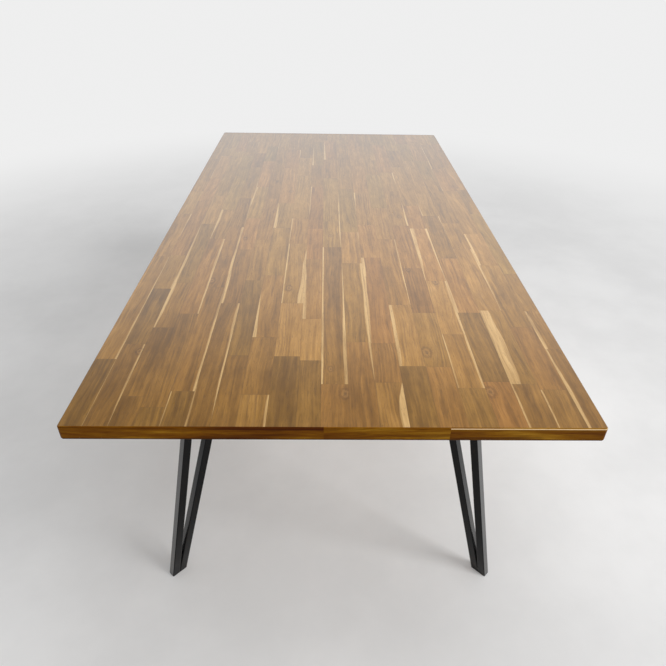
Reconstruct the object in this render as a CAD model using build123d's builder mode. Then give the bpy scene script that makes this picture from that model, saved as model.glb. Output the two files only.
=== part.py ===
from build123d import *
import os
from itertools import chain, cycle, islice
from math import cos, radians, sin, tan

# A dining table: a butcher block top glued up from hardwood staves, on four
# V legs of black steel tube. Millimetres, +Z up, origin on the floor under
# the middle of the top. X is the width, Y the length, front is -Y, left is -X.

# Table top
table_height = 750.0
top_length = 2000.0
top_width = 1000.0
top_thickness = 30.0
corner_radius = 8.0
upper_arris = 1.2
lower_roundover = 3.5

# Strips of long grain that cover the end grain of the staves
lipping_thickness = 4.0
lipping_left = 480.0
lipping_middle = 231.0

# Rows of staves, counted from the left: N is a narrow stave, W a wide one.
# The last row on the right is ripped to the finished width.
narrow_stave = 45.7
wide_stave = 54.3
narrowest_rip = 20.0
row_order = "NNNNNNNWWNWWWWWWWWW"

# Lengths of the first and second stave of each row from the front, then the
# lengths that the rows share further back. The last stave takes what is left.
first_lengths = [201, 256, 82, 51, 98, 430, 216, 89, 214, 200]
first_lengths += [122, 269, 128, 182, 180, 112, 132, 125, 108, 246]
second_lengths = [480, 243, 239, 330, 410, 300, 330, 196, 218, 162]
second_lengths += [628, 380, 136, 246, 212, 189, 262, 280, 225, 157]
stave_lengths = [310, 210, 380, 250, 340, 190, 420, 230, 290]
shortest_stave = 90.0
lengths_between_rows = 5

# V legs: where each foot stands in from the edges of the top, how far the leg's
# plane is turned from the width, and how far each tube leans from upright
foot_side_inset = 52.8
foot_end_inset = 191.6
leg_turn = 45.0
outer_lean = 13.4
inner_lean = 19.1
crotch_height = 10.0

# Square steel tube, wider in the plane of the V than across it
tube_width = 22.0
tube_depth = 20.0
tube_wall = 2.0
tube_corner = 2.0

# Steel plate welded on each leg, and the hex head wood screws that hold it up
plate_thickness = 5.0
plate_width = 70.0
plate_margin = 35.0
plate_corner = 10.0
screw_edge = 15.0
screw_diameter = 6.0
screw_length = 25.0
screw_shank_sides = 12
screw_head = 10.0
screw_head_height = 4.0
screw_hole_clearance = 0.5
pilot_clearance = 0.05
pilot_spare = 1.0

# Plastic glide under each foot, with a plug in the end of each tube
glide_thickness = 3.0
plug_height = 12.0
plug_clearance = 0.2

# Levels and angles that the pieces share
underside = table_height - top_thickness
plate_underside = underside - plate_thickness
stave_field = top_length - 2 * lipping_thickness
turn = radians(leg_turn)
outer = radians(outer_lean)
inner = radians(inner_lean)

# The V of a leg, measured inwards from the outermost point of its foot
outer_toe = tube_width / cos(outer)
inner_toe = tube_width / cos(inner)
toe_length = outer_toe + inner_toe - crotch_height * (tan(inner) - tan(outer))
head_start = plate_underside * tan(outer)
head_end = toe_length + plate_underside * tan(inner)
head_middle = (head_start + head_end) / 2
plate_length = head_end - head_start + 2 * plate_margin
screw_spread = plate_length - 2 * screw_edge
screw_gauge = plate_width - 2 * screw_edge
pilot_depth = screw_length - plate_thickness + pilot_spare

os.makedirs("parts", exist_ok=True)


def write(piece, name):
    """Label a finished piece and write its file."""
    piece.label = name
    export_step(piece, f"parts/{name}.step")


def leg_plane(side, end):
    """Floor plane of a leg: origin at the foot, local X inwards along the V."""
    foot_x = side * (top_width / 2 - foot_side_inset)
    foot_y = end * (top_length / 2 - foot_end_inset)
    inwards = (-side * cos(turn), -end * sin(turn), 0)
    return Plane(origin=(foot_x, foot_y, 0), x_dir=inwards, z_dir=(0, 0, 1))


def screw_planes(leg, height):
    """Upward planes at a leg's four screws, at a height above the floor."""
    corners = [(u, v) for u in (-1, 1) for v in (-1, 1)]
    places = [(head_middle + u * screw_spread / 2, v * screw_gauge / 2) for u, v in corners]
    return [Plane(leg * Location((u, v, height))) for u, v in places]


legs = {
    "front_left": leg_plane(-1, -1),
    "front_right": leg_plane(1, -1),
    "back_left": leg_plane(-1, 1),
    "back_right": leg_plane(1, 1),
}

# The whole glued-up top after it is machined: rounded corners, the sharp arris
# off the upper edge, a roundover on the lower edge, and blind pilot holes
with BuildPart() as machined_top:
    with BuildSketch(Plane.XY.offset(underside)):
        RectangleRounded(top_width, top_length, corner_radius)
    extrude(amount=top_thickness)
    chamfer(machined_top.faces().sort_by(Axis.Z)[-1].edges(), upper_arris)
    fillet(machined_top.faces().sort_by(Axis.Z)[0].edges(), lower_roundover)
    for leg in legs.values():
        with BuildSketch(*screw_planes(leg, underside)):
            Circle(screw_diameter / 2 + pilot_clearance)
        extrude(amount=pilot_depth, mode=Mode.SUBTRACT)


def timber(stock, left, right, front, back):
    """The length of wood that fills the stock between four glue faces."""
    with BuildPart() as length:
        with BuildSketch(Plane.XY.offset(underside)):
            with Locations(((left + right) / 2, (front + back) / 2)):
                Rectangle(right - left, back - front)
        extrude(amount=top_thickness)
        add(stock, mode=Mode.INTERSECT)
    return length.part


def row_edges():
    """X of the glue lines between rows, from the left edge to the right one."""
    widths = {"N": narrow_stave, "W": wide_stave}
    edges = [-top_width / 2]
    for kind in cycle(row_order):
        if top_width / 2 - edges[-1] < widths[kind] + narrowest_rip:
            break
        edges.append(edges[-1] + widths[kind])
    return edges + [top_width / 2]


def stave_ends(row):
    """Y of the butt joints in a row, from the front lipping to the back one."""
    own = [first_lengths[row % len(first_lengths)], second_lengths[row % len(second_lengths)]]
    shared = islice(cycle(stave_lengths), row * lengths_between_rows, None)
    ends = [-stave_field / 2]
    for length in chain(own, shared):
        if stave_field / 2 - ends[-1] < length + shortest_stave:
            break
        ends.append(ends[-1] + length)
    return ends + [stave_field / 2]


# Stave rows: staves butted end to end, glued to their neighbours side by side
edges = row_edges()
for row, (left, right) in enumerate(zip(edges, edges[1:])):
    ends = stave_ends(row)
    strip = timber(machined_top.part, left, right, ends[0], ends[-1])
    staves = [timber(strip, left, right, front, back) for front, back in zip(ends, ends[1:])]
    write(Compound(children=staves), f"stave_row_{row + 1:02d}")

# End lippings: three butted strips of long grain glued across each end
lipping_names = ("left", "middle", "right")
front_cuts = [-top_width / 2, lipping_left - top_width / 2]
front_cuts += [front_cuts[-1] + lipping_middle, top_width / 2]
back_cuts = [-cut for cut in reversed(front_cuts)]
for end_name, cuts, end_face in (
    ("front", front_cuts, -top_length / 2),
    ("back", back_cuts, stave_field / 2),
):
    for name, left, right in zip(lipping_names, cuts, cuts[1:]):
        back_face = end_face + lipping_thickness
        lipping = timber(machined_top.part, left, right, end_face, back_face)
        write(lipping, f"{end_name}_lipping_{name}")


def leg_tube(leg, toe_middle, lean, mitre_side):
    """A leaning tube, cut level at the glide and the plate and mitred at the foot."""
    section = Plane(leg * Location((toe_middle, 0, 0), (0, lean, 0)))
    mitre_lean = (outer_lean + inner_lean) / 2
    crotch = (outer_toe + crotch_height * tan(outer), 0, crotch_height)
    mitre = Plane(leg * Location(crotch, (0, 90 + mitre_lean, 0)))
    with BuildPart() as tube:
        with BuildSketch(section):
            RectangleRounded(tube_width, tube_depth, tube_corner)
            Rectangle(
                tube_width - 2 * tube_wall, tube_depth - 2 * tube_wall, mode=Mode.SUBTRACT
            )
        extrude(amount=table_height / cos(radians(lean)), both=True)
        split(bisect_by=Plane.XY.offset(glide_thickness), keep=Keep.TOP)
        split(bisect_by=Plane.XY.offset(plate_underside), keep=Keep.BOTTOM)
        split(bisect_by=mitre, keep=mitre_side)
    return tube.part


def leg_plate(leg):
    """Mounting plate along the head of the V, with cut corners and screw holes."""
    with BuildPart() as plate:
        with BuildSketch(Plane(leg * Location((head_middle, 0, plate_underside)))) as outline:
            Rectangle(plate_length, plate_width)
            chamfer(outline.vertices(), plate_corner)
            with GridLocations(screw_spread, screw_gauge, 2, 2):
                Circle(screw_diameter / 2 + screw_hole_clearance, mode=Mode.SUBTRACT)
        extrude(amount=plate_thickness)
    return plate.part


def foot_glide(leg):
    """Flat pad under both tubes, with a leaning plug in the bore of each."""
    start = glide_thickness * tan(outer)
    end = toe_length + glide_thickness * tan(inner)
    plug_depth = tube_depth - 2 * (tube_wall + plug_clearance)
    plug_width = tube_width - 2 * (tube_wall + plug_clearance)
    with BuildPart() as glide:
        with BuildSketch(Plane(leg * Location(((start + end) / 2, 0, 0)))) as pad:
            Rectangle(end - start, tube_depth)
            chamfer(pad.vertices(), tube_corner)
        extrude(amount=glide_thickness)
        for plug_middle, lean in (
            (start + outer_toe / 2, outer),
            (end - inner_toe / 2, inner),
        ):
            up_tube = leg.x_dir * sin(lean) + leg.z_dir * cos(lean)
            with BuildSketch(Plane(leg * Location((plug_middle, 0, glide_thickness)))):
                Rectangle(plug_width / cos(lean), plug_depth)
            extrude(amount=plug_height / cos(lean), dir=up_tube)
    return glide.part


def leg_screw(seat):
    """Hex head wood screw, its head under the plate and its shank in the wood."""
    with BuildPart() as screw:
        with BuildSketch(seat):
            RegularPolygon(screw_head / 2, 6, major_radius=False)
        extrude(amount=-screw_head_height)
        with BuildSketch(seat):
            RegularPolygon(screw_diameter / 2, screw_shank_sides)
        extrude(amount=screw_length)
    return screw.part


# Legs: two tubes welded to each other at the foot and to the plate at the head
screws = []
for name, leg in legs.items():
    write(leg_tube(leg, outer_toe / 2, outer_lean, Keep.BOTTOM), f"{name}_outer_tube")
    inner_middle = toe_length - inner_toe / 2
    write(leg_tube(leg, inner_middle, inner_lean, Keep.TOP), f"{name}_inner_tube")
    write(leg_plate(leg), f"{name}_plate")
    write(foot_glide(leg), f"{name}_glide")
    screws += [leg_screw(seat) for seat in screw_planes(leg, plate_underside)]

# Fasteners: separate screws in one set
write(Compound(children=screws), "leg_screws")
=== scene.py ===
import bpy
import random
from bisect import bisect
from math import pi, radians
from mathutils import Matrix, Vector
from mathutils.geometry import convex_hull_2d


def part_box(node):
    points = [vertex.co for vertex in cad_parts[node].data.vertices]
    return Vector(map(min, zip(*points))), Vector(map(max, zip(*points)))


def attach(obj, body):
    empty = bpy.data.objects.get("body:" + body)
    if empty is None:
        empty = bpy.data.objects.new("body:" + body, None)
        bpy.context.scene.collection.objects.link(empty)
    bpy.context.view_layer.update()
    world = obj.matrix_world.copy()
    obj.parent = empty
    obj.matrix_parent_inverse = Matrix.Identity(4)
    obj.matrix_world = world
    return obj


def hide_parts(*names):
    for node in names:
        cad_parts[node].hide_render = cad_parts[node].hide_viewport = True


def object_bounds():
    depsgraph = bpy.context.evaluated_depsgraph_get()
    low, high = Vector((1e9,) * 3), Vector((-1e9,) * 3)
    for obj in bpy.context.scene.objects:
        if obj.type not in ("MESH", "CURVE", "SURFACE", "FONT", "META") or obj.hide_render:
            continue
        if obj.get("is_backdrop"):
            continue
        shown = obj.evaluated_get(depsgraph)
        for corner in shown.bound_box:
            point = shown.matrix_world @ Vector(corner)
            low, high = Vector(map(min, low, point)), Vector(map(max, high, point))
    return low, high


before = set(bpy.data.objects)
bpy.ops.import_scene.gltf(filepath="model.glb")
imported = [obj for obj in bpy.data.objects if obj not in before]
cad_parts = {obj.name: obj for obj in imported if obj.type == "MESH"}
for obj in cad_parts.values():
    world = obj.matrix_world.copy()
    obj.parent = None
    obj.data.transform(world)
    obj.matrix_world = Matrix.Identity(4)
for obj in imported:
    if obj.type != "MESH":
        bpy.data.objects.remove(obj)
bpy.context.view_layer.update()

# Stave rows: hardwood staves in two widths, butted end to end, glued edge to edge and sanded flush.
# Each stave comes from another log, so it has its own tone, growth rings, sapwood edges and knots.
# Satin lacquer covers the whole top.
stave_rows = sorted(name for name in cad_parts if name.startswith("stave_row"))
stave_chance = random.Random(41)


def add_node(tree, kind, inputs, **settings):
    """A node with its settings, each input set to a value or linked to a socket."""
    made = tree.nodes.new(kind)
    for name, value in settings.items():
        setattr(made, name, value)
    for socket, value in inputs.items():
        if isinstance(value, bpy.types.NodeSocket):
            tree.links.new(value, made.inputs[socket])
        else:
            made.inputs[socket].default_value = value
    return made


def blank_material(name):
    """A new material, its empty tree, and the piece's own coordinates in that tree."""
    material = bpy.data.materials.new(name)
    material.use_nodes = True
    material.node_tree.nodes.clear()
    spot = add_node(material.node_tree, "ShaderNodeTexCoord", {}).outputs["Object"]
    return material, material.node_tree, spot


def finish_material(tree, **inputs):
    """The surface of a material, from the inputs of its shader."""
    sockets = {name.replace("_", " "): value for name, value in inputs.items()}
    surface = add_node(tree, "ShaderNodeBsdfPrincipled", sockets)
    add_node(tree, "ShaderNodeOutputMaterial", {"Surface": surface.outputs[0]})


def maths(tree, operation, first, second=0.0, third=0.0):
    """The result of one sum on numbers or sockets."""
    made = add_node(tree, "ShaderNodeMath", {0: first, 1: second, 2: third}, operation=operation)
    return made.outputs[0]


def combined(tree, x, y, z):
    """A vector made of three numbers or sockets."""
    return add_node(tree, "ShaderNodeCombineXYZ", {0: x, 1: y, 2: z}).outputs[0]


def parts_of(tree, vector):
    """The three numbers of a vector socket."""
    return add_node(tree, "ShaderNodeSeparateXYZ", {0: vector}).outputs


def length_of(tree, vector):
    """The length of a vector socket."""
    return add_node(tree, "ShaderNodeVectorMath", {0: vector}, operation="LENGTH").outputs["Value"]


def noise(tree, vector, repeats, detail=3.0, roughness=0.55):
    """Smooth noise that repeats about so many times a metre along each axis of a vector."""
    scaled = add_node(tree, "ShaderNodeVectorMath", {0: vector, 1: repeats}, operation="MULTIPLY")
    inputs = {"Vector": scaled.outputs[0], "Scale": 1.0, "Detail": detail, "Roughness": roughness}
    return add_node(tree, "ShaderNodeTexNoise", inputs).outputs[0]


def ranged(tree, value, low, high, out_low=0.0, out_high=1.0):
    """A value eased from one range into another."""
    inputs = {"Value": value, "From Min": low, "From Max": high, "To Min": out_low, "To Max": out_high}
    return add_node(tree, "ShaderNodeMapRange", inputs, interpolation_type="SMOOTHSTEP").outputs[0]


def swung(tree, value, swing, base):
    """A base that a noise swings up and down."""
    return maths(tree, "MULTIPLY_ADD", maths(tree, "SUBTRACT", value, 0.5), swing, base)


def mixed(tree, factor, first, second, blend="MIX"):
    """Two colours mixed by a factor."""
    inputs = {0: factor, 6: first, 7: second}
    return add_node(tree, "ShaderNodeMix", inputs, data_type="RGBA", blend_type=blend).outputs[2]


def ramp(tree, value, stops):
    """A colour picked along a row of stops, each a position and its colour."""
    made = add_node(tree, "ShaderNodeValToRGB", {0: value})
    row = made.color_ramp.elements
    for number, (position, shade) in enumerate(stops):
        stop = row[number] if number < 2 else row.new(position)
        stop.position = position
        stop.color = shade
    return made.outputs[0]


def colour(red, green, blue):
    """A colour as a paint chart gives it, 0 to 255, in the linear values that a shader takes."""
    steps = [value / 255 for value in (red, green, blue)]
    return [s / 12.92 if s < 0.04045 else ((s + 0.055) / 1.055) ** 2.4 for s in steps] + [1.0]


# Points this close to a level are on it, and this far under a face is inside its piece
on_level = 0.00002
under_face = 0.0001


def staves_of(row):
    """The separate staves of a CAD row from the front: ends, corner points and faces of each."""
    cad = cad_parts[row].data
    low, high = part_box(row)
    on_top = [v.co for v in cad.vertices if v.co.z > high.z - on_level]
    on_glue_line = [p for p in on_top if min(p.x - low.x, high.x - p.x) < on_level]
    joints = sorted({round(p.y, 5) for p in on_glue_line})
    staves = [{"ends": ends, "points": {}, "faces": []} for ends in zip(joints, joints[1:])]
    for face in cad.polygons:
        inside = face.center - face.normal * under_face
        stave = staves[min(max(bisect(joints, inside.y) - 1, 0), len(staves) - 1)]
        corners = []
        for vertex in face.vertices:
            place = tuple(round(value, 6) for value in cad.vertices[vertex].co)
            corners.append(stave["points"].setdefault(place, len(stave["points"])))
        if len(set(corners)) == 3:
            stave["faces"].append(corners)
    return staves


# Staves that stand out on the real top, by row from the left and stave from the front. A tone has
# how light it is, and how far it leans from olive to red. The dark tones of the front staves at the
# left are partly the staves' own and partly painted shade.
tones = {
    "dark": (0.36, 0.3), "deep": (0.4, 0.5), "brown": (0.43, 0.6), "red": (0.49, 0.72),
    "tan": (0.58, 0.4), "light": (0.66, 0.5),
}
marked_tones = {
    (1, 1): "dark", (2, 1): "deep", (2, 2): "dark", (3, 1): "deep", (3, 2): "deep",
    (4, 1): "dark", (4, 2): "deep", (5, 1): "dark", (5, 2): "brown", (6, 1): "deep",
    (6, 2): "brown", (7, 1): "deep", (8, 1): "tan", (8, 2): "deep", (9, 1): "dark",
    (9, 2): "light", (10, 1): "dark", (10, 2): "light", (11, 1): "red", (11, 2): "deep",
    (12, 1): "red", (13, 2): "red", (14, 1): "dark", (14, 2): "light", (15, 1): "red",
    (16, 3): "light", (17, 2): "dark", (18, 1): "deep", (19, 2): "red", (19, 4): "light",
    (20, 1): "deep",
}
# Millimetres of sapwood on the left and right edge at the front end, then at the back end. Where one
# is below zero, the strip tapers out before that end.
marked_sapwood = {
    (1, 1): ((0, 1), (0, 1)), (1, 2): ((0, 4), (0, 1)), (2, 1): ((0, 1), (0, 5)),
    (2, 3): ((0, 4), (0, -3)), (3, 3): ((4, 0), (7, 0)), (3, 4): ((8, 0), (1, 0)),
    (4, 3): ((0, 3), (0, 6)), (4, 4): ((3, 0), (6, 0)), (5, 1): ((2, 0), (2, 0)),
    (5, 2): ((0, 4), (0, 4)), (5, 3): ((0, 4), (0, 6)), (6, 1): ((5, 0), (-12, 7)),
    (6, 2): ((5, 0), (-2, 0)), (6, 4): ((-6, 0), (7, 0)), (8, 1): ((0, 4), (0, 3)),
    (8, 3): ((8, 0), (-5, 0)), (8, 5): ((8, 0), (2, 0)), (9, 3): ((3, 14), (3, -3)),
    (9, 4): ((2, 0), (4, 0)), (10, 3): ((9, 0), (-2, 0)), (10, 5): ((-4, 0), (6, 0)),
    (10, 7): ((5, 0), (-1, 0)), (11, 2): ((4, 7), (3, -2)), (11, 3): ((0, 1), (0, 5)),
    (11, 4): ((0, 4), (0, -3)), (11, 6): ((9, 0), (-2, 0)), (12, 1): ((0, -8), (0, 6)),
    (12, 2): ((0, 6), (0, 4)), (13, 1): ((0, 14), (0, 1)), (13, 3): ((3, 0), (7, 0)),
    (13, 5): ((-5, 0), (6, 0)), (14, 2): ((5, 0), (10, 0)), (15, 5): ((0, 6), (0, -5)),
    (16, 2): ((4, 5), (2, 4)), (16, 3): ((0, 5), (0, 4)), (16, 4): ((1, 0), (12, 6)),
    (18, 1): ((5, 0), (4, 0)), (18, 2): ((24, 0), (18, 0)), (19, 1): ((3, 0), (3, 0)),
    (19, 3): ((-3, 0), (4, 0)), (19, 4): ((6, 0), (3, 0)), (20, 1): ((5, 0), (6, 0)),
    (20, 2): ((8, 0), (5, 0)),
}
# Knots: millimetres to the right of the stave's middle and back from its front end, and their radius
marked_knots = {
    (2, 1): (17, 229, 5), (5, 3): (-19, 35, 6), (9, 3): (-12, 75, 6), (11, 1): (20, 93, 7),
    (11, 2): (-8, 49, 4), (15, 2): (-18, 52, 8), (16, 3): (-2, 245, 6), (17, 1): (-20, 100, 7),
}

stave_wood, tree, spot = blank_material("stave_wood")
here = parts_of(tree, spot)


def kept_on_stave(name):
    """The three numbers kept on the faces of a stave under a name."""
    kept = add_node(tree, "ShaderNodeAttribute", {}, attribute_name=name)
    return parts_of(tree, kept.outputs["Vector"])


left_edge, right_edge, middle_y = kept_on_stave("stave_place")
tone, redness, shift = kept_on_stave("stave_look")
heart_x, heart_z, tilt = kept_on_stave("stave_log")
front_left_sap, front_right_sap, rings = kept_on_stave("stave_front")
back_left_sap, back_right_sap, half_length = kept_on_stave("stave_back")
knot_x, knot_y, knot_radius = kept_on_stave("stave_knot")

# Position in the stave
along = maths(tree, "SUBTRACT", here[1], middle_y)
middle_x = maths(tree, "MULTIPLY", maths(tree, "ADD", left_edge, right_edge), 0.5)
across = maths(tree, "SUBTRACT", here[0], middle_x)

# How far the knot is, in its own radius: longer than wide, with a ragged edge
from_knot_x = maths(tree, "SUBTRACT", here[0], knot_x)
from_knot_y = maths(tree, "MULTIPLY", maths(tree, "SUBTRACT", here[1], knot_y), 0.6)
from_knot = length_of(tree, combined(tree, from_knot_x, from_knot_y, 0.0))
from_knot = maths(tree, "DIVIDE", from_knot, maths(tree, "MAXIMUM", knot_radius, 0.00001))
from_knot = swung(tree, noise(tree, spot, (300.0, 180.0, 300.0), 2.0), 1.1, from_knot)

# Position in the log that the stave was sawn from: the grain leans, wanders and goes round the knot
in_log_y = maths(tree, "ADD", along, shift)
in_log_z = maths(tree, "ADD", here[2], heart_z)
shifted = combined(tree, across, in_log_y, in_log_z)
wander = noise(tree, shifted, (9.0, 3.0, 9.0), 2.0)
grain_wander = 0.03
grain_x = swung(tree, wander, grain_wander, maths(tree, "MULTIPLY_ADD", along, tilt, across))
pushed = ranged(tree, from_knot, 4.5, 0.8, 0.0, -0.6)
grain_x = maths(tree, "MULTIPLY_ADD", from_knot_x, pushed, grain_x)
grain = combined(tree, grain_x, in_log_y, in_log_z)

# Growth rings round the heart of the log, uneven and coming and going along the stave
row_low, row_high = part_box(stave_rows[0])
middle_z = (row_low.z + row_high.z) / 2
above_heart = maths(tree, "SUBTRACT", in_log_z, middle_z)
radius = length_of(tree, combined(tree, maths(tree, "ADD", grain_x, heart_x), 0.0, above_heart))
uneven = noise(tree, grain, (34.0, 2.4, 34.0), 3.0)
ring = maths(tree, "FRACT", swung(tree, uneven, 3.0, maths(tree, "MULTIPLY", radius, rings)))
late_wood = maths(tree, "MULTIPLY", ranged(tree, ring, 0.2, 0.86), ranged(tree, ring, 1.0, 0.88))
patchy = ranged(tree, noise(tree, grain, (45.0, 5.0, 45.0)), 0.4, 0.62)
late_wood = maths(tree, "MULTIPLY", late_wood, patchy)

# Blotches, streaks, fibres and open pores that run along the stave
drift = noise(tree, grain, (17.0, 3.6, 8.0), 3.0)
streak = noise(tree, grain, (125.0, 4.6, 60.0), 5.0, 0.62)
mottle = noise(tree, grain, (70.0, 19.0, 40.0), 4.0, 0.6)
fibre = noise(tree, grain, (640.0, 24.0, 300.0), 3.0, 0.6)
pore = ranged(tree, noise(tree, grain, (1150.0, 62.0, 700.0), 1.0), 0.61, 0.73)

# Heartwood: from dark olive brown to light tan, leaning to olive or to red stave by stave
toned = swung(tree, drift, 0.55, tone)
toned = swung(tree, streak, 0.68, toned)
toned = swung(tree, mottle, 0.42, toned)
wood = ramp(tree, toned, (
    (0.0, colour(90, 63, 22)),
    (0.3, colour(125, 88, 33)),
    (0.55, colour(157, 114, 49)),
    (0.8, colour(184, 138, 70)),
    (1.0, colour(204, 160, 94)),
))
olive = mixed(tree, 1.0, wood, (0.96, 1.01, 0.88, 1.0), "MULTIPLY")
reddish = mixed(tree, 1.0, wood, (1.06, 0.955, 0.95, 1.0), "MULTIPLY")
wood = mixed(tree, redness, olive, reddish)
wood = mixed(tree, maths(tree, "MULTIPLY", late_wood, 0.34), wood, colour(80, 52, 22))
wood = mixed(tree, ranged(tree, fibre, 0.42, 0.72, 0.0, 0.3), wood, colour(84, 58, 30))

# Sapwood: the pale outer wood of the log, left by the saw as a strip on an edge that changes width
# from end to end, swells between the ends and waves
raggedness = 0.0024
share = maths(tree, "MULTIPLY_ADD", maths(tree, "DIVIDE", along, half_length), 0.5, 0.5)
share_left = maths(tree, "SUBTRACT", 1.0, share)
swell = maths(tree, "MULTIPLY", maths(tree, "MULTIPLY", share_left, share), 1.3)
wave = ranged(tree, noise(tree, shifted, (0.0, 4.0, 9.0), 1.0), 0.3, 0.7, 0.75, 1.25)
strips = []
for front_width, back_width, from_edge in (
    (front_left_sap, back_left_sap, maths(tree, "SUBTRACT", here[0], left_edge)),
    (front_right_sap, back_right_sap, maths(tree, "SUBTRACT", right_edge, here[0])),
):
    gain = maths(tree, "SUBTRACT", back_width, front_width)
    width = maths(tree, "MULTIPLY_ADD", gain, share, front_width)
    widest = maths(tree, "MAXIMUM", front_width, back_width)
    width = maths(tree, "MULTIPLY_ADD", widest, swell, width)
    width = maths(tree, "MULTIPLY", width, wave)
    ragged = swung(tree, fibre, raggedness, from_edge)
    strip = ranged(tree, maths(tree, "SUBTRACT", width, ragged), -0.0008, 0.002)
    strips.append(maths(tree, "MULTIPLY", strip, ranged(tree, width, 0.0003, 0.0012)))
sapwood = maths(tree, "MAXIMUM", strips[0], strips[1])
pale = mixed(tree, ranged(tree, streak, 0.3, 0.7), colour(187, 147, 89), colour(213, 175, 116))
sapwood = maths(tree, "MULTIPLY", sapwood, ranged(tree, streak, 0.28, 0.62, 0.6, 0.95))
wood = mixed(tree, sapwood, wood, pale)

# Knots: a small dark eye in a ring of paler wood, with a thin dark ring and darker wood round it
wood = mixed(tree, ranged(tree, from_knot, 2.6, 1.0, 0.0, 0.18), wood, colour(104, 68, 34))
from_rim = maths(tree, "ABSOLUTE", maths(tree, "SUBTRACT", from_knot, 1.35))
wood = mixed(tree, ranged(tree, from_rim, 0.45, 0.1, 0.0, 0.26), wood, colour(74, 46, 24))
wood = mixed(tree, ranged(tree, from_knot, 1.1, 0.8, 0.0, 0.3), wood, colour(170, 128, 72))
wood = mixed(tree, ranged(tree, from_knot, 0.6, 0.2, 0.0, 0.42), wood, colour(70, 44, 22))
wood = mixed(tree, maths(tree, "MULTIPLY", pore, 0.42), wood, colour(62, 43, 24))

# Glue line: a hair of shadow where two staves meet
glue_reach = 0.0005
glue_core = 0.0001
side_gap = maths(
    tree, "MINIMUM",
    maths(tree, "SUBTRACT", here[0], left_edge), maths(tree, "SUBTRACT", right_edge, here[0]),
)
end_gap = maths(tree, "SUBTRACT", half_length, maths(tree, "ABSOLUTE", along))
glue = ranged(tree, maths(tree, "MINIMUM", side_gap, end_gap), glue_reach, glue_core)
wood = mixed(tree, maths(tree, "MULTIPLY", glue, 0.4), wood, colour(66, 46, 28))

# Lacquer: satin, a little duller over the fibres and sunk over the pores
height = maths(tree, "MULTIPLY_ADD", pore, -0.6, maths(tree, "MULTIPLY", fibre, 0.5))
height = maths(tree, "MULTIPLY_ADD", glue, -0.8, height)
relief = add_node(tree, "ShaderNodeBump", {"Strength": 0.22, "Distance": 0.0002, "Height": height})
finish_material(
    tree, Base_Color=wood, Roughness=maths(tree, "MULTIPLY_ADD", fibre, 0.12, 0.24), IOR=1.5,
    Normal=relief.outputs[0], Coat_Weight=1.0, Coat_Roughness=0.2, Coat_IOR=1.55,
)

# Chance for the staves without marks: tone and redness with their spread, sapwood and knots in
# millimetres. The two staves at the front of a row have their marks from the real top, so sapwood
# and knots come by chance only from the third on.
millimetre = 0.001
usual_tone = (0.53, 0.045)
usual_redness = (0.5, 0.26)
first_by_chance = 3
sapwood_chance = 0.12
sapwood_widths = (1.5, 4.0)
sapwood_tapers = (-1.4, 0.6)
knot_chance = 0.22
knots_aside = (-20, 20)
knots_back = (20, 300)
knot_radii = (2.5, 5.0)

# Chance for the logs: the place along one, how far aside and how deep its heart is from the stave,
# the spread of how far its grain leans, and its rings to the metre
log_places = (0, 40)
hearts_aside = (-0.07, 0.07)
heart_depths = (0.02, 0.09)
grain_leans = (0, 0.012)
rings_per_metre = (90, 210)

sharp_edge = radians(35)
for row_number, row in enumerate(stave_rows, 1):
    low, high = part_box(row)
    row_middle = (low.x + high.x) / 2
    points = []
    faces = []
    kept = {}
    for stave_number, stave in enumerate(staves_of(row), 1):
        front, back = stave["ends"]
        mark = (row_number, stave_number)
        own_tone = (stave_chance.gauss(*usual_tone), stave_chance.gauss(*usual_redness))
        if mark in marked_tones:
            own_tone = tones[marked_tones[mark]]
        own_sapwood = ((0, 0), (0, 0))
        sap_draw = stave_chance.random()
        sap_width = stave_chance.uniform(*sapwood_widths)
        sap_taper = stave_chance.uniform(*sapwood_tapers)
        if stave_number < first_by_chance:
            sap_width = 0
        if sap_draw < sapwood_chance:
            own_sapwood = ((sap_width, 0), (sap_width * sap_taper, 0))
        elif sap_draw < 2 * sapwood_chance:
            own_sapwood = ((0, sap_width * sap_taper), (0, sap_width))
        front_sap, back_sap = marked_sapwood.get(mark, own_sapwood)
        knot_place = (stave_chance.uniform(*knots_aside), stave_chance.uniform(*knots_back))
        own_knot = (*knot_place, stave_chance.uniform(*knot_radii))
        if stave_chance.random() >= knot_chance or stave_number < first_by_chance:
            own_knot = (0, 0, 0)
        knot_right, knot_back, knot_size = marked_knots.get(mark, own_knot)
        heart_depth = stave_chance.choice((-1, 1)) * stave_chance.uniform(*heart_depths)
        values = {
            "stave_place": (low.x, high.x, (front + back) / 2),
            "stave_look": (*own_tone, stave_chance.uniform(*log_places)),
            "stave_log": (
                stave_chance.uniform(*hearts_aside),
                heart_depth,
                stave_chance.gauss(*grain_leans),
            ),
            "stave_front": (
                front_sap[0] * millimetre,
                front_sap[1] * millimetre,
                stave_chance.uniform(*rings_per_metre),
            ),
            "stave_back": (
                back_sap[0] * millimetre,
                back_sap[1] * millimetre,
                (back - front) / 2,
            ),
            "stave_knot": (
                row_middle + knot_right * millimetre,
                front + knot_back * millimetre,
                knot_size * millimetre,
            ),
        }
        faces += [[corner + len(points) for corner in face] for face in stave["faces"]]
        points += list(stave["points"])
        for name, value in values.items():
            kept.setdefault(name, []).extend(value * len(stave["faces"]))
    mesh = bpy.data.meshes.new(row + "_wood")
    mesh.from_pydata(points, [], faces)
    for name, value in kept.items():
        mesh.attributes.new(name, "FLOAT_VECTOR", "FACE").data.foreach_set("vector", value)
    mesh.shade_smooth()
    mesh.set_sharp_from_angle(angle=sharp_edge)
    mesh.materials.append(stave_wood)
    wood_row = bpy.data.objects.new(row + "_wood", mesh)
    bpy.context.scene.collection.objects.link(wood_row)
    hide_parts(row)
    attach(wood_row, "root")
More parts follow.
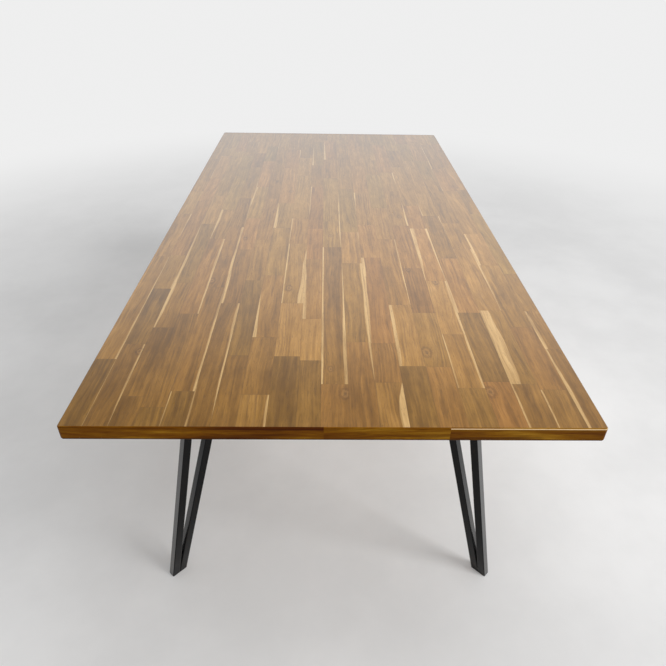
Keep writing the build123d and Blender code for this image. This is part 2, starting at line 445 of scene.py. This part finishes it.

# End lippings: thin strips of the same wood glued over the end grain, in three butted lengths at
# each end, with the grain running across the table. Oil and lacquer have turned them deep gold, with
# dark streaks. Painted shade darkens their lower edge; one has a painted highlight along its upper
# edge, and the others are painted darker there.
lipping_chance = random.Random(9)
lipping_low, lipping_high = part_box("front_lipping_left")
lipping_tones = {"left": -0.02, "middle": 0.04, "right": 0.015}
streak_levels = (0.005, 0.028)
streak_reach = 0.0045
streak_core = 0.001
shaded_edge_reach = 0.0065
shaded_edge_core = 0.0025
arris_depth = 0.001


def dress(piece, material):
    """Give a CAD piece its material."""
    piece.data.materials.clear()
    piece.data.materials.append(material)


for lipping in sorted(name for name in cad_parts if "lipping" in name):
    lipping_wood, tree, spot = blank_material(lipping + "_wood")
    here = parts_of(tree, spot)
    shift = lipping_chance.uniform(0, 30)
    slope = lipping_chance.gauss(0, 0.015)
    shifted = combined(tree, maths(tree, "ADD", here[0], shift), here[1], here[2])
    sloped = maths(tree, "MULTIPLY_ADD", here[0], slope, here[2])
    leaned = swung(tree, noise(tree, shifted, (4.5, 0.0, 0.0), 2.0), 0.03, sloped)
    grain = combined(tree, maths(tree, "ADD", here[0], shift), here[1], leaned)
    band = noise(tree, grain, (5.0, 60.0, 60.0), 3.0, 0.5)
    band = maths(tree, "ADD", band, lipping_tones[lipping.split("_")[-1]])
    streak = noise(tree, grain, (13.0, 120.0, 180.0), 4.0, 0.6)
    fibre = noise(tree, grain, (36.0, 600.0, 520.0), 3.0, 0.6)
    wood = ramp(tree, swung(tree, streak, 0.35, band), (
        (0.28, colour(76, 37, 2)),
        (0.44, colour(106, 61, 4)),
        (0.58, colour(130, 84, 8)),
        (0.74, colour(160, 116, 30)),
    ))
    above = maths(tree, "SUBTRACT", here[2], lipping_low.z)
    below = maths(tree, "SUBTRACT", lipping_high.z, here[2])
    streak_level = lipping_low.z + lipping_chance.uniform(*streak_levels)
    from_streak = maths(tree, "SUBTRACT", leaned, streak_level)
    patches = ranged(tree, noise(tree, grain, (3.2, 0.0, 0.0), 1.0), 0.42, 0.56, 0.0, 0.75)
    if lipping == "front_lipping_left":
        from_streak = maths(tree, "SUBTRACT", below, 0.002)
        from_left = maths(tree, "SUBTRACT", here[0], lipping_low.x)
        patches = ranged(tree, from_left, 0.21, 0.3, 0.0, 0.9)
    dark_streak = ranged(tree, maths(tree, "ABSOLUTE", from_streak), streak_reach, streak_core)
    wood = mixed(tree, maths(tree, "MULTIPLY", dark_streak, patches), wood, colour(64, 22, 4))
    wood = mixed(tree, ranged(tree, fibre, 0.42, 0.72, 0.0, 0.42), wood, colour(62, 32, 4))
    # Painted shade: the lower edge of each lipping is darkened
    shaded_lower_edge = ranged(tree, above, shaded_edge_reach, shaded_edge_core, 0.0, 0.75)
    wood = mixed(tree, shaded_lower_edge, wood, colour(40, 20, 4))
    # Painted highlight: a pale line along the upper arris of the right lipping; on the others the
    # arris is painted darker
    painted_arris = ranged(tree, below, 1.4 * arris_depth, arris_depth)
    painted_arris = maths(tree, "MULTIPLY", painted_arris, ranged(tree, below, 0.0, 0.2 * arris_depth))
    if lipping == "front_lipping_right":
        wood = mixed(tree, maths(tree, "MULTIPLY", painted_arris, 0.85), wood, colour(226, 202, 160))
    else:
        wood = mixed(tree, maths(tree, "MULTIPLY", painted_arris, 0.5), wood, colour(72, 38, 8))
    relief = add_node(tree, "ShaderNodeBump", {"Strength": 0.2, "Distance": 0.0002, "Height": fibre})
    finish_material(
        tree, Base_Color=wood, Roughness=maths(tree, "MULTIPLY_ADD", fibre, 0.12, 0.36), IOR=1.12,
        Normal=relief.outputs[0],
    )
    dress(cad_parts[lipping], lipping_wood)

# Legs: two lengths of square steel tube, mitred at the foot into a V and welded there and to a flat
# plate at the head, then powder coated satin black. Dust has settled on the coat near the floor.
powder_coat, tree, spot = blank_material("powder_coat")
peel = noise(tree, spot, (620.0, 620.0, 620.0))
haze = noise(tree, spot, (22.0, 22.0, 22.0))
dust_height = 0.09
near_floor = ranged(tree, parts_of(tree, spot)[2], dust_height, 0.0)
dust = maths(tree, "MULTIPLY", near_floor, ranged(tree, haze, 0.4, 0.75))
coat = mixed(tree, ranged(tree, peel, 0.35, 0.7), colour(9, 9, 10), colour(16, 16, 17))
coat = mixed(tree, maths(tree, "MULTIPLY", dust, 0.25), coat, colour(92, 90, 86))
relief = add_node(tree, "ShaderNodeBump", {"Strength": 0.2, "Distance": 0.0001, "Height": peel})
glancing = ranged(tree, add_node(tree, "ShaderNodeLayerWeight", {}).outputs["Facing"], 0.4, 0.56)
finish_material(
    tree, Base_Color=coat, Roughness=maths(tree, "MULTIPLY_ADD", haze, 0.12, 0.16), IOR=1.25,
    Normal=relief.outputs[0], Coat_Weight=glancing, Coat_Roughness=0.14, Coat_IOR=1.85,
)
for name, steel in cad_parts.items():
    if name.endswith(("tube", "plate")):
        dress(steel, powder_coat)

# Welds: a rippled bead round the head of each tube where it meets the plate, and across the crotch
# of the V, laid down by hand and coated over with the rest of the leg.
ripple_pitch = 0.0024
bead_radius = 0.0023


def pattern(name, sizes):
    """A Geometry Nodes tree with a named input for each size, and its input sockets."""
    group = bpy.data.node_groups.new(name, "GeometryNodeTree")
    group.interface.new_socket("Geometry", in_out="INPUT", socket_type="NodeSocketGeometry")
    for size in sizes:
        group.interface.new_socket(size, in_out="INPUT", socket_type="NodeSocketFloat")
    group.interface.new_socket("Geometry", in_out="OUTPUT", socket_type="NodeSocketGeometry")
    return group, add_node(group, "NodeGroupInput", {}).outputs


def close_pattern(group, shape, material):
    """The end of a tree: plain mesh in one material."""
    real = add_node(group, "GeometryNodeRealizeInstances", {0: shape}).outputs[0]
    coated = add_node(group, "GeometryNodeSetMaterial", {"Geometry": real, "Material": material})
    add_node(group, "NodeGroupOutput", {0: coated.outputs[0]})


def patterned(name, points, edges, group, sizes):
    """A piece that a tree makes on points and edges, turned into a plain mesh."""
    base = bpy.data.meshes.new(name)
    base.from_pydata(points, edges, [])
    piece = bpy.data.objects.new(name, base)
    bpy.context.scene.collection.objects.link(piece)
    made = piece.modifiers.new(name, "NODES")
    made.node_group = group
    for item in group.interface.items_tree:
        if item.in_out == "INPUT" and item.name in sizes:
            made[item.identifier] = sizes[item.name]
    solid = piece.evaluated_get(bpy.context.evaluated_depsgraph_get())
    piece.data = bpy.data.meshes.new_from_object(solid)
    piece.modifiers.clear()
    return piece


weld_tree, given = pattern("weld_bead", ("Ripple pitch", "Bead radius"))
seam = add_node(weld_tree, "GeometryNodeMeshToCurve", {"Mesh": given["Geometry"]})
spacing = {"Curve": seam.outputs[0], "Length": given["Ripple pitch"]}
dots = add_node(weld_tree, "GeometryNodeCurveToPoints", spacing, mode="LENGTH")
drop = {"Segments": 8, "Rings": 5, "Radius": given["Bead radius"]}
ripple = add_node(weld_tree, "GeometryNodeMeshUVSphere", drop)
size_chance = {2: 0.85, 3: 1.1, "Seed": 5}
uneven = add_node(weld_tree, "FunctionNodeRandomValue", size_chance, data_type="FLOAT")
beads = add_node(weld_tree, "GeometryNodeInstanceOnPoints", {
    "Points": dots.outputs["Points"], "Instance": ripple.outputs["Mesh"],
    "Rotation": dots.outputs["Rotation"], "Scale": uneven.outputs[1],
})
rounded = add_node(weld_tree, "GeometryNodeSetShadeSmooth", {0: beads.outputs[0]})
close_pattern(weld_tree, rounded.outputs[0], powder_coat)

seam_points = []
seam_edges = []


def add_seam(points, closed):
    """One more weld path, through points in order."""
    start = len(seam_points)
    seam_points.extend(points)
    seam_edges.extend((n, n + 1) for n in range(start, len(seam_points) - 1))
    if closed:
        seam_edges.append((len(seam_points) - 1, start))


def corners_of(node):
    """The different points of a CAD node."""
    return {tuple(round(value, 6) for value in v.co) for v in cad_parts[node].data.vertices}


for leg in ("front_left", "front_right", "back_left", "back_right"):
    outer = corners_of(leg + "_outer_tube")
    inner = corners_of(leg + "_inner_tube")
    for tube in (outer, inner):
        level = max(point[2] for point in tube)
        head = [point for point in tube if point[2] > level - on_level]
        order = convex_hull_2d([Vector(point[:2]) for point in head])
        add_seam([head[n] for n in order], True)
    mitre = outer & inner
    level = max(point[2] for point in mitre)
    crotch = [point for point in mitre if point[2] > level - on_level]
    add_seam(sorted(crotch)[:: len(crotch) - 1], False)
bead_sizes = {"Ripple pitch": ripple_pitch, "Bead radius": bead_radius}
welds = patterned("leg_welds", seam_points, seam_edges, weld_tree, bead_sizes)
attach(welds, "root")

# Screws: zinc plated steel with a hexagon head, four through each plate into the underside of the
# top. The head's lower corners are chamfered.
head_low, head_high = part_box("leg_screws")
plate_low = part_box("front_left_plate")[0]
head_width = 0.010
shank_width = 0.006
plate_turn = radians(45)

screw_steel, tree, spot = blank_material("screw_steel")
frost = noise(tree, spot, (900.0, 900.0, 900.0))
stain = noise(tree, spot, (150.0, 150.0, 150.0))
zinc = mixed(tree, ranged(tree, stain, 0.35, 0.7), colour(176, 178, 180), colour(142, 143, 142))
relief = add_node(tree, "ShaderNodeBump", {"Strength": 0.2, "Distance": 0.0001, "Height": frost})
finish_material(
    tree, Base_Color=zinc, Metallic=1.0, Roughness=maths(tree, "MULTIPLY_ADD", frost, 0.2, 0.25),
    Normal=relief.outputs[0],
)

screw_sizes = {
    "Head width": head_width,
    "Head height": plate_low.z - head_low.z,
    "Chamfer": 0.0008,
    "Shank width": shank_width,
    "Shank length": head_high.z - plate_low.z,
}
screw_tree, given = pattern("hex_screw", screw_sizes)
corner = maths(screw_tree, "DIVIDE", given["Head width"], 3 ** 0.5)
body_height = maths(screw_tree, "SUBTRACT", given["Head height"], given["Chamfer"])


def lifted(shape, height):
    """A shape moved up by a height."""
    lift = {"Geometry": shape, "Translation": combined(screw_tree, 0.0, 0.0, height)}
    return add_node(screw_tree, "GeometryNodeTransform", lift).outputs[0]


hexagon = add_node(screw_tree, "GeometryNodeMeshCylinder", {
    "Vertices": 6, "Radius": corner, "Depth": body_height,
})
chamfered = add_node(screw_tree, "GeometryNodeMeshCone", {
    "Vertices": 6, "Radius Top": corner, "Depth": given["Chamfer"],
    "Radius Bottom": maths(screw_tree, "SUBTRACT", corner, given["Chamfer"]),
})
shank = add_node(screw_tree, "GeometryNodeMeshCylinder", {
    "Vertices": 20, "Radius": maths(screw_tree, "MULTIPLY", given["Shank width"], 0.5),
    "Depth": given["Shank length"],
})
screw = add_node(screw_tree, "GeometryNodeJoinGeometry", {})
for shape in (
    lifted(hexagon.outputs["Mesh"], maths(screw_tree, "MULTIPLY", body_height, -0.5)),
    lifted(chamfered.outputs["Mesh"], maths(screw_tree, "MULTIPLY", given["Head height"], -1.0)),
    lifted(shank.outputs["Mesh"], maths(screw_tree, "MULTIPLY", given["Shank length"], 0.5)),
):
    screw_tree.links.new(shape, screw.inputs[0])
places = add_node(screw_tree, "GeometryNodeMeshToPoints", {"Mesh": given["Geometry"]})
set_screws = add_node(screw_tree, "GeometryNodeInstanceOnPoints", {
    "Points": places.outputs[0], "Instance": screw.outputs[0], "Rotation": (0.0, 0.0, plate_turn),
})
close_pattern(screw_tree, set_screws.outputs[0], screw_steel)

heads = []
for point in sorted(p for p in corners_of("leg_screws") if p[2] < head_low.z + on_level):
    near = [head for head in heads if (Vector(head[0]) - Vector(point)).length < 2 * head_width]
    if near:
        near[0].append(point)
    else:
        heads.append([point])
screw_points = []
for head in heads:
    across_x = [point[0] for point in head]
    across_y = [point[1] for point in head]
    middle = (min(across_x) + max(across_x)) / 2, (min(across_y) + max(across_y)) / 2
    screw_points.append((*middle, plate_low.z))
screws = patterned("hex_screws", screw_points, [], screw_tree, screw_sizes)
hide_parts("leg_screws")
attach(screws, "root")

# Glides: moulded black plastic, a flat pad under each foot with two plugs pushed into the tubes.
# The underside is scratched grey by the floor.
glide_plastic, tree, spot = blank_material("glide_plastic")
grit = noise(tree, spot, (1300.0, 1300.0, 1300.0))
scratch = noise(tree, spot, (900.0, 60.0, 300.0))
wear_height = 0.0006
at_floor = ranged(tree, parts_of(tree, spot)[2], wear_height, 0.0)
worn = maths(tree, "MULTIPLY", at_floor, ranged(tree, scratch, 0.45, 0.7))
plastic = mixed(tree, ranged(tree, grit, 0.35, 0.7), colour(22, 22, 23), colour(34, 34, 34))
plastic = mixed(tree, maths(tree, "MULTIPLY", worn, 0.6), plastic, colour(110, 108, 104))
relief = add_node(tree, "ShaderNodeBump", {"Strength": 0.25, "Distance": 0.0001, "Height": grit})
finish_material(
    tree, Base_Color=plastic, Roughness=maths(tree, "MULTIPLY_ADD", grit, 0.2, 0.42), IOR=1.46,
    Normal=relief.outputs[0],
)
for name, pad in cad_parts.items():
    if name.endswith("glide"):
        dress(pad, glide_plastic)

# Studio: a plain pale floor that runs into the backdrop, white surroundings that are brighter behind
# the table and to its right than behind the camera, a broad soft light from the right front and a
# small one close above the table. Seen from the camera, the floor also glows a little near the table,
# which is painted light that lightens the table's shadow.
backdrop = 0.86
floor_mesh = bpy.data.meshes.new("floor")
reach = 60.0
floor_corners = [(-reach, -reach, 0), (reach, -reach, 0), (reach, reach, 0), (-reach, reach, 0)]
floor_mesh.from_pydata(floor_corners, [], [(0, 1, 2, 3)])
floor = bpy.data.objects.new("floor", floor_mesh)
bpy.context.scene.collection.objects.link(floor)
floor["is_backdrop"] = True
floor_paint, tree, spot = blank_material("floor_paint")
cloud = noise(tree, spot, (1.6, 1.6, 1.6), 6.0, 0.6)
pale = mixed(tree, ranged(tree, cloud, 0.3, 0.7), (0.8, 0.8, 0.8, 1), (0.9, 0.9, 0.9, 1))
matt = add_node(tree, "ShaderNodeBsdfDiffuse", {"Color": pale})
glow_colour = (backdrop, backdrop, backdrop, 1)
glow = add_node(tree, "ShaderNodeEmission", {"Color": glow_colour, "Strength": 1.0})
seen = add_node(tree, "ShaderNodeLightPath", {}).outputs["Is Camera Ray"]
glow_from = 1.5
glow_full = 4.2
# Painted light: to the camera the floor glows at 0.15 of the backdrop near the table, lightening its
# shadow, and fully far off
camera_glow = ranged(tree, length_of(tree, spot), glow_from, glow_full, 0.15, 1.0)
camera_glow = maths(tree, "MULTIPLY", camera_glow, seen)
blend = add_node(tree, "ShaderNodeMixShader", {0: camera_glow, 1: matt.outputs[0], 2: glow.outputs[0]})
add_node(tree, "ShaderNodeOutputMaterial", {"Surface": blend.outputs[0]})
floor_mesh.materials.append(floor_paint)

world = bpy.data.worlds.new("white_room")
bpy.context.scene.world = world
world.use_nodes = True
tree = world.node_tree
tree.nodes.clear()
path = add_node(tree, "ShaderNodeLightPath", {})
looking = parts_of(tree, add_node(tree, "ShaderNodeTexCoord", {}).outputs["Generated"])
away = maths(tree, "MULTIPLY_ADD", looking[0], 0.25, maths(tree, "MULTIPLY", looking[1], 0.95))
around = ranged(tree, away, -0.65, 0.55, 0.1, 1.0)
# What gloss mirrors is bright up to a height and dark above it, which begins lower at the sides
steep = maths(tree, "MULTIPLY_ADD", maths(tree, "ABSOLUTE", looking[0]), 0.1, looking[2])
steep = maths(tree, "MULTIPLY_ADD", looking[0], -0.05, steep)
mirrored = maths(tree, "MULTIPLY", around, ranged(tree, steep, 0.49, 0.69, 1.0, 0.05))
lighting = ranged(tree, looking[2], 0.0, 0.6, 1.2, 0.39)
shiny = maths(tree, "MAXIMUM", path.outputs["Is Glossy Ray"], path.outputs["Is Transmission Ray"])
level = add_node(tree, "ShaderNodeMix", {0: shiny, 2: lighting, 3: mirrored}).outputs[0]
seen = path.outputs["Is Camera Ray"]
level = add_node(tree, "ShaderNodeMix", {0: seen, 2: level, 3: backdrop}).outputs[0]
sky = add_node(tree, "ShaderNodeBackground", {"Color": (1, 1, 1, 1), "Strength": level})
add_node(tree, "ShaderNodeOutputWorld", {"Surface": sky.outputs[0]})

for name, place, aim, size, power, in_mirrors in (
    ("window", (7.2, -3.2, 5.9), (0.0, -0.1, 0.6), 3.5, 370.0, True),
    ("ceiling", (0.35, -0.35, 1.95), (0.35, -0.35, 0.0), 1.5, 13.2, False),
):
    panel = bpy.data.lights.new(name, "AREA")
    panel.size = size
    panel.energy = power
    lamp = bpy.data.objects.new(name, panel)
    lamp.location = place
    lamp.rotation_euler = (Vector(aim) - Vector(place)).to_track_quat("-Z", "Y").to_euler()
    lamp.visible_camera = False
    lamp.visible_glossy = in_mirrors
    bpy.context.scene.collection.objects.link(lamp)

camera_place = (-0.021, -1.738, 1.458)
camera_turn = radians(-1.14)
camera_tilt = pi / 2 - radians(34.10)
camera_roll = radians(1.02)
view = bpy.data.cameras.new("view")
view.lens = 30.227
view.sensor_width = 36.0
camera = bpy.data.objects.new("view", view)
turned = Matrix.Rotation(camera_turn, 4, "Z")
turned = turned @ Matrix.Rotation(camera_tilt, 4, "X")
turned = turned @ Matrix.Rotation(camera_roll, 4, "Z")
camera.matrix_world = Matrix.Translation(camera_place) @ turned
bpy.context.scene.collection.objects.link(camera)
bpy.context.scene.camera = camera
bpy.context.scene.view_settings.view_transform = "Standard"

low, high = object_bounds()
